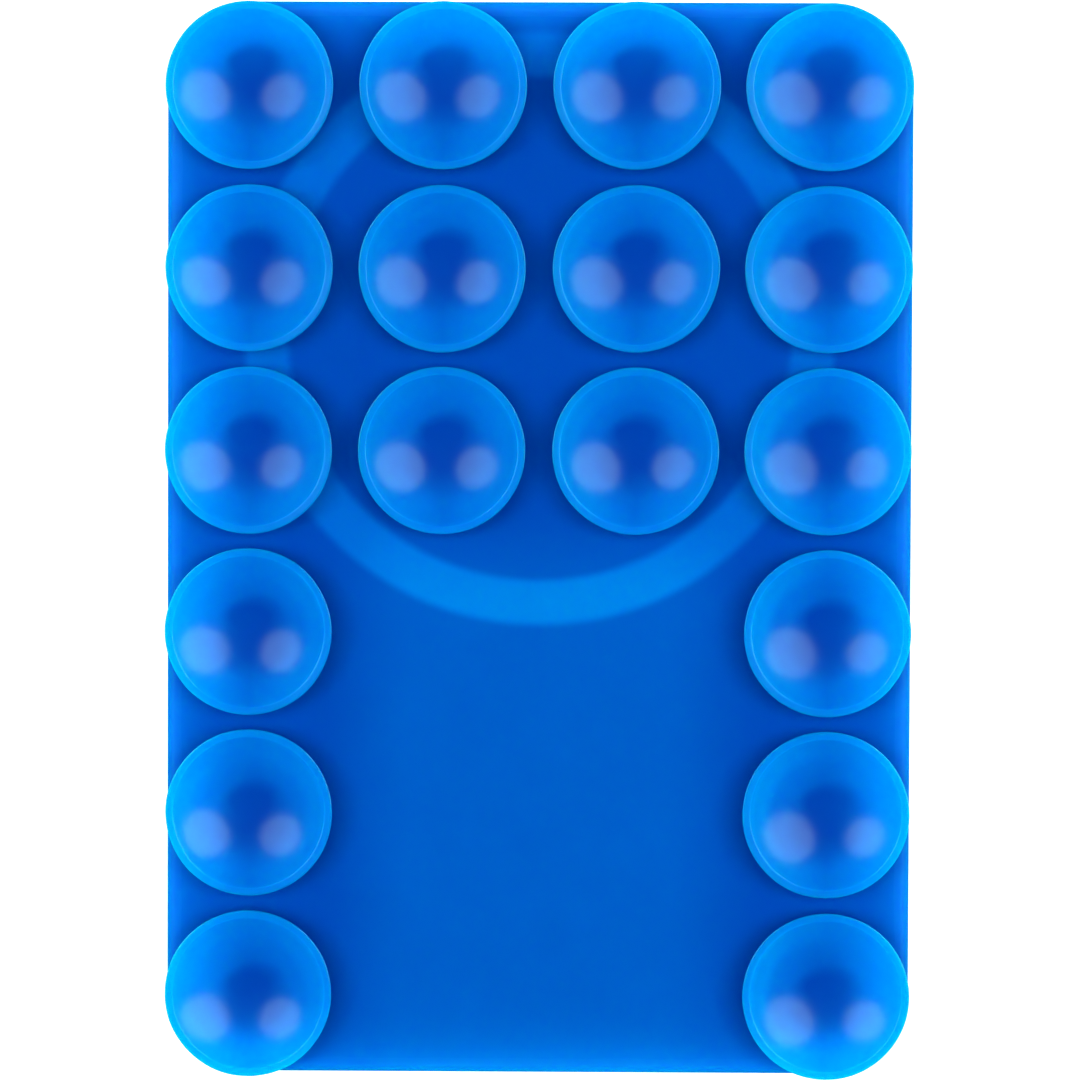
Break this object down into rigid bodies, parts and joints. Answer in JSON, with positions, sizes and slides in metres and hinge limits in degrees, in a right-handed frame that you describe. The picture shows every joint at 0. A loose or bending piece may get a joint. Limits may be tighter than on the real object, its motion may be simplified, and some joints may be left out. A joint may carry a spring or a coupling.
{
  "type": "suction phone mount",
  "caption": "Flat silicone pad with rows of suction cups on its front and a sealed ring of magnets inside, for holding a phone on a smooth surface.",
  "frame": {"origin": "centre of the flat back face, the face that lies against the phone", "axes": "+Z from the back face to the rims of the suction cups, +Y along the pad to the end that holds the magnet ring"},
  "size_m": [0.068, 0.098, 0.0078],
  "materials": {
    "silicone": "translucent blue silicone with a satin moulded surface",
    "carrier_plastic": "white moulded plastic",
    "yoke_steel": "cold rolled sheet",
    "magnet_plating": "nickel plating on sintered magnet",
    "film": "thin white adhesive film"
  },
  "bodies": {
    "pad": {"pad_plate": "silicone", "back_skin": "silicone", "cup_hub_r1_c1": "silicone", "cup_hub_r1_c2": "silicone", "cup_hub_r1_c3": "silicone", "cup_hub_r1_c4": "silicone", "cup_hub_r2_c1": "silicone", "cup_hub_r2_c2": "silicone", "cup_hub_r2_c3": "silicone", "cup_hub_r2_c4": "silicone", "cup_hub_r3_c1": "silicone", "cup_hub_r3_c2": "silicone", "cup_hub_r3_c3": "silicone", "cup_hub_r3_c4": "silicone", "cup_hub_r4_c1": "silicone", "cup_hub_r4_c4": "silicone", "cup_hub_r5_c1": "silicone", "cup_hub_r5_c4": "silicone", "cup_hub_r6_c1": "silicone", "cup_hub_r6_c4": "silicone", "ring_carrier": "carrier_plastic", "ring_yoke": "yoke_steel", "ring_film": "film", "magnet_01": "magnet_plating", "magnet_02": "magnet_plating", "magnet_03": "magnet_plating", "magnet_04": "magnet_plating", "magnet_05": "magnet_plating", "magnet_06": "magnet_plating", "magnet_07": "magnet_plating", "magnet_08": "magnet_plating", "magnet_09": "magnet_plating", "magnet_10": "magnet_plating", "magnet_11": "magnet_plating", "magnet_12": "magnet_plating", "magnet_13": "magnet_plating", "magnet_14": "magnet_plating", "magnet_15": "magnet_plating", "magnet_16": "magnet_plating", "magnet_17": "magnet_plating", "magnet_18": "magnet_plating"},
    "cup_r1_c1": {"cup_rim_r1_c1": "silicone"},
    "cup_r1_c2": {"cup_rim_r1_c2": "silicone"},
    "cup_r1_c3": {"cup_rim_r1_c3": "silicone"},
    "cup_r1_c4": {"cup_rim_r1_c4": "silicone"},
    "cup_r2_c1": {"cup_rim_r2_c1": "silicone"},
    "cup_r2_c2": {"cup_rim_r2_c2": "silicone"},
    "cup_r2_c3": {"cup_rim_r2_c3": "silicone"},
    "cup_r2_c4": {"cup_rim_r2_c4": "silicone"},
    "cup_r3_c1": {"cup_rim_r3_c1": "silicone"},
    "cup_r3_c2": {"cup_rim_r3_c2": "silicone"},
    "cup_r3_c3": {"cup_rim_r3_c3": "silicone"},
    "cup_r3_c4": {"cup_rim_r3_c4": "silicone"},
    "cup_r4_c1": {"cup_rim_r4_c1": "silicone"},
    "cup_r4_c4": {"cup_rim_r4_c4": "silicone"},
    "cup_r5_c1": {"cup_rim_r5_c1": "silicone"},
    "cup_r5_c4": {"cup_rim_r5_c4": "silicone"},
    "cup_r6_c1": {"cup_rim_r6_c1": "silicone"},
    "cup_r6_c4": {"cup_rim_r6_c4": "silicone"}
  },
  "joints": [
    {"name": "press_r1_c1", "type": "slide", "parent": "pad", "child": "cup_r1_c1", "axis": [0, 0, -1], "range_m": [0, 0.0018], "stiffness_N_per_m": 600},
    {"name": "press_r1_c2", "type": "slide", "parent": "pad", "child": "cup_r1_c2", "axis": [0, 0, -1], "range_m": [0, 0.0018], "stiffness_N_per_m": 600},
    {"name": "press_r1_c3", "type": "slide", "parent": "pad", "child": "cup_r1_c3", "axis": [0, 0, -1], "range_m": [0, 0.0018], "stiffness_N_per_m": 600},
    {"name": "press_r1_c4", "type": "slide", "parent": "pad", "child": "cup_r1_c4", "axis": [0, 0, -1], "range_m": [0, 0.0018], "stiffness_N_per_m": 600},
    {"name": "press_r2_c1", "type": "slide", "parent": "pad", "child": "cup_r2_c1", "axis": [0, 0, -1], "range_m": [0, 0.0018], "stiffness_N_per_m": 600},
    {"name": "press_r2_c2", "type": "slide", "parent": "pad", "child": "cup_r2_c2", "axis": [0, 0, -1], "range_m": [0, 0.0018], "stiffness_N_per_m": 600},
    {"name": "press_r2_c3", "type": "slide", "parent": "pad", "child": "cup_r2_c3", "axis": [0, 0, -1], "range_m": [0, 0.0018], "stiffness_N_per_m": 600},
    {"name": "press_r2_c4", "type": "slide", "parent": "pad", "child": "cup_r2_c4", "axis": [0, 0, -1], "range_m": [0, 0.0018], "stiffness_N_per_m": 600},
    {"name": "press_r3_c1", "type": "slide", "parent": "pad", "child": "cup_r3_c1", "axis": [0, 0, -1], "range_m": [0, 0.0018], "stiffness_N_per_m": 600},
    {"name": "press_r3_c2", "type": "slide", "parent": "pad", "child": "cup_r3_c2", "axis": [0, 0, -1], "range_m": [0, 0.0018], "stiffness_N_per_m": 600},
    {"name": "press_r3_c3", "type": "slide", "parent": "pad", "child": "cup_r3_c3", "axis": [0, 0, -1], "range_m": [0, 0.0018], "stiffness_N_per_m": 600},
    {"name": "press_r3_c4", "type": "slide", "parent": "pad", "child": "cup_r3_c4", "axis": [0, 0, -1], "range_m": [0, 0.0018], "stiffness_N_per_m": 600},
    {"name": "press_r4_c1", "type": "slide", "parent": "pad", "child": "cup_r4_c1", "axis": [0, 0, -1], "range_m": [0, 0.0018], "stiffness_N_per_m": 600},
    {"name": "press_r4_c4", "type": "slide", "parent": "pad", "child": "cup_r4_c4", "axis": [0, 0, -1], "range_m": [0, 0.0018], "stiffness_N_per_m": 600},
    {"name": "press_r5_c1", "type": "slide", "parent": "pad", "child": "cup_r5_c1", "axis": [0, 0, -1], "range_m": [0, 0.0018], "stiffness_N_per_m": 600},
    {"name": "press_r5_c4", "type": "slide", "parent": "pad", "child": "cup_r5_c4", "axis": [0, 0, -1], "range_m": [0, 0.0018], "stiffness_N_per_m": 600},
    {"name": "press_r6_c1", "type": "slide", "parent": "pad", "child": "cup_r6_c1", "axis": [0, 0, -1], "range_m": [0, 0.0018], "stiffness_N_per_m": 600},
    {"name": "press_r6_c4", "type": "slide", "parent": "pad", "child": "cup_r6_c4", "axis": [0, 0, -1], "range_m": [0, 0.0018], "stiffness_N_per_m": 600}
  ]
}
